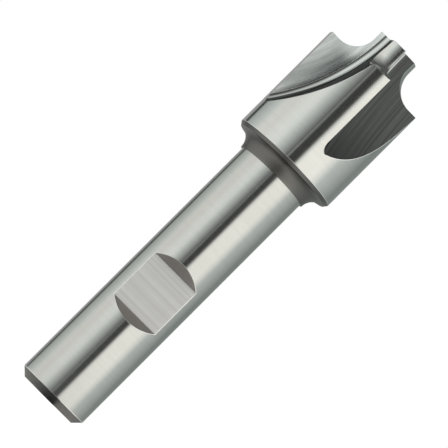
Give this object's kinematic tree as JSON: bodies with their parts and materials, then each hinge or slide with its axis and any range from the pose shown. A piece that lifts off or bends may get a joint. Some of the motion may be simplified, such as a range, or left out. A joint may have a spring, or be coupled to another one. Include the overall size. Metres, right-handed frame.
{
  "type": "corner rounding end mill",
  "caption": "One-piece steel cutter with straight flutes, a concave quarter-round form ahead of a stepped head, and a straight shank with a clamping flat.",
  "frame": {"origin": "centre of the flat end face of the shank, on which the tool stands", "axes": "+Z along the tool's axis from the shank end to the cutting tip; -Y out of the clamping flat; +X completes the right-handed frame"},
  "size_m": [0.019, 0.019, 0.0777],
  "materials": {
    "tool_steel": "bright, finely ground"
  },
  "bodies": {
    "root": {"corner_rounding_end_mill": "tool_steel"}
  },
  "joints": []
}
